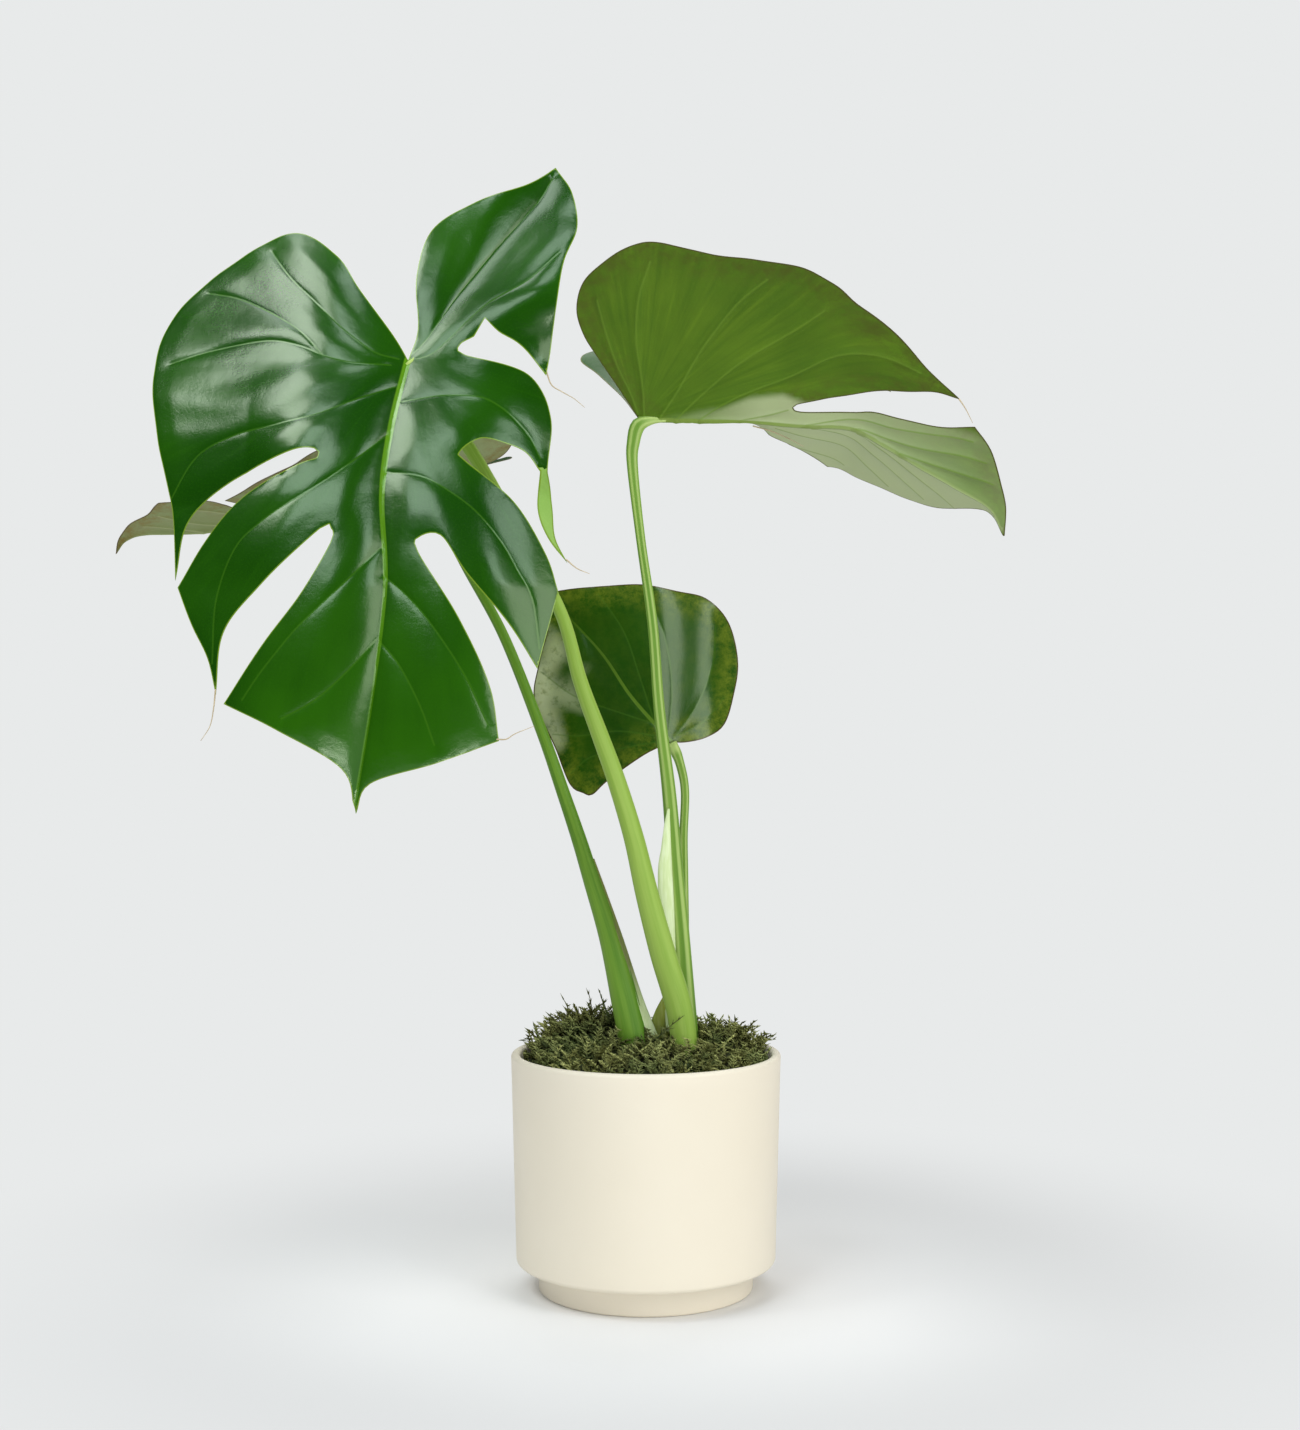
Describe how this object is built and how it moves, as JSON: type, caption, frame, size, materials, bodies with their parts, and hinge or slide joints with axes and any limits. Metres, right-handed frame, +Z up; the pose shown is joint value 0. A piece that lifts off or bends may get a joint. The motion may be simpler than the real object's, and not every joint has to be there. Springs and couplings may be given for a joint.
{
  "type": "potted monstera plant",
  "caption": "Split-leaf plant with tall curved stalks and large glossy leaves, in moss and soil in a round cream ceramic pot with an inset foot.",
  "frame": {"origin": "centre of the flat underside of the pot's foot", "axes": "+Z up; -Y is the front, which the biggest leaf faces; the right leaf reaches towards +X"},
  "size_m": [0.5451, 0.2791, 0.6652],
  "materials": {
    "pot_ceramic": "matte",
    "soil": "matte",
    "moss": "matte",
    "crown": "matte",
    "stalk_bright": "satin",
    "stalk_dark": "satin",
    "stalk_pale": "satin",
    "sheath": "satin",
    "leaf_glossy": "gloss",
    "leaf_underside": "satin",
    "leaf_mottled": "satin"
  },
  "bodies": {
    "root": {"pot": "pot_ceramic", "potting_soil": "soil", "moss_topping": "moss", "crown": "crown", "front_stalk": "stalk_bright", "left_stalk": "stalk_dark", "right_stalk": "stalk_pale", "small_stalk": "stalk_pale", "right_sheath": "sheath", "left_sheath": "sheath", "stub_sheath": "sheath", "front_leaf": "leaf_glossy", "left_leaf": "leaf_underside", "right_leaf": "leaf_underside", "small_leaf": "leaf_mottled"}
  },
  "joints": []
}
